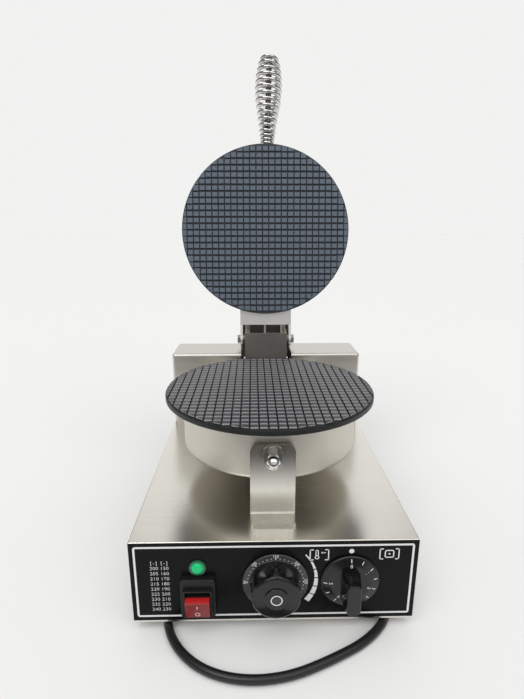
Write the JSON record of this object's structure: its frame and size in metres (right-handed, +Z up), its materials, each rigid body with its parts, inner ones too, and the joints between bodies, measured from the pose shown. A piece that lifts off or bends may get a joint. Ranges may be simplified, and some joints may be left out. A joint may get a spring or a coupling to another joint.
{
  "type": "electric cone wafer iron",
  "caption": "Countertop electric iron for thin cone wafers: round plates on drums, a hinged lid with a coil handle, and a steel base with dials.",
  "frame": {"origin": "on the counter under the middle of the machine's box, mains cord left out", "axes": "+X to the right as seen from the front, +Y to the back, +Z up"},
  "size_m": [0.2392, 0.5186, 0.5364],
  "materials": {
    "steel_brushed": "brushed stainless sheet",
    "steel_drum": "spun and brushed stainless",
    "steel_hardware": "bright zinc or nickel plated",
    "spring_steel": "plated spring wire",
    "bush_metal": "turned",
    "column_steel": "folded stainless",
    "dark_plate": "dark coated sheet",
    "coated_plate": "dark non-stick coating, satin",
    "heater_sheath": "heat-tinted tube",
    "insulation_wool": "pressed mineral wool",
    "panel_film": "gloss black film with white print",
    "black_plastic": "moulded",
    "cap_plastic": "moulded",
    "lamp_green": "clear green, lit",
    "rocker_red": "clear red",
    "copper": "drawn tube",
    "lead_white": "glass-braided sleeve",
    "rubber": "moulded rubber",
    "cord_rubber": "black rubber jacket"
  },
  "bodies": {
    "root": {"base_shell": "steel_brushed", "rear_housing": "steel_brushed", "front_bracket": "steel_brushed", "rear_bracket": "steel_brushed", "base_pan": "steel_brushed", "lead_conduit": "steel_brushed", "lower_drum": "steel_drum", "base_fasteners": "steel_hardware", "bracket_studs": "steel_hardware", "front_dome_nut": "steel_hardware", "bracket_nuts": "steel_hardware", "column_screws": "steel_hardware", "pivot_bolts": "steel_hardware", "pivot_nuts": "steel_hardware", "control_nuts": "steel_hardware", "earth_stud": "steel_hardware", "plug_pins": "steel_hardware", "lower_clamp_screws": "steel_hardware", "pivot_bushes": "bush_metal", "hinge_column": "column_steel", "wire_cover": "dark_plate", "hinge_stop": "dark_plate", "lower_plate": "coated_plate", "lower_heater": "heater_sheath", "lower_heater_clamp": "heater_sheath", "lower_insulation": "insulation_wool", "front_film": "panel_film", "switch_body": "black_plastic", "thermostat_body": "black_plastic", "timer_body": "black_plastic", "cord_gland": "black_plastic", "terminal_block": "black_plastic", "pilot_lamp_body": "black_plastic", "pilot_lamp_lens": "lamp_green", "thermostat_capillary": "copper", "base_leads": "lead_white", "lower_leads": "lead_white", "lid_leads": "lead_white", "rubber_feet": "rubber", "power_cord": "cord_rubber", "cord_coil": "cord_rubber", "cord_tail": "cord_rubber", "power_plug": "cord_rubber"},
    "lid": {"lid_drum": "steel_drum", "lid_arm": "steel_drum", "upper_plate": "coated_plate", "upper_heater": "heater_sheath", "upper_heater_clamp": "heater_sheath", "upper_clamp_screws": "steel_hardware", "upper_insulation": "insulation_wool", "handle_rod": "steel_hardware", "handle_grip": "spring_steel", "handle_nuts": "steel_hardware", "lid_lead_tails": "lead_white"},
    "thermostat": {"thermostat_shaft": "steel_hardware", "thermostat_knob": "black_plastic", "thermostat_knob_cap": "cap_plastic"},
    "timer": {"timer_shaft": "steel_hardware", "timer_knob": "black_plastic"},
    "rocker": {"switch_rocker": "rocker_red"}
  },
  "joints": [
    {"name": "lid_hinge", "type": "hinge", "parent": "root", "child": "lid", "pos_m": [0, 0.10273, 0.1906], "axis": [1, 0, 0], "range_deg": [0, 99.35], "deforming": ["lid_leads"]},
    {"name": "thermostat_turn", "type": "hinge", "parent": "root", "child": "thermostat", "pos_m": [0.001, -0.16977, 0.04975], "axis": [0, -1, 0], "range_deg": [-132, 118]},
    {"name": "timer_turn", "type": "hinge", "parent": "root", "child": "timer", "pos_m": [0.0625, -0.16977, 0.04975], "axis": [0, -1, 0], "range_deg": [-270, 0]},
    {"name": "rocker_tilt", "type": "hinge", "parent": "root", "child": "rocker", "pos_m": [-0.0625, -0.15717, 0.0349], "axis": [1, 0, 0], "range_deg": [-24, 0]}
  ]
}
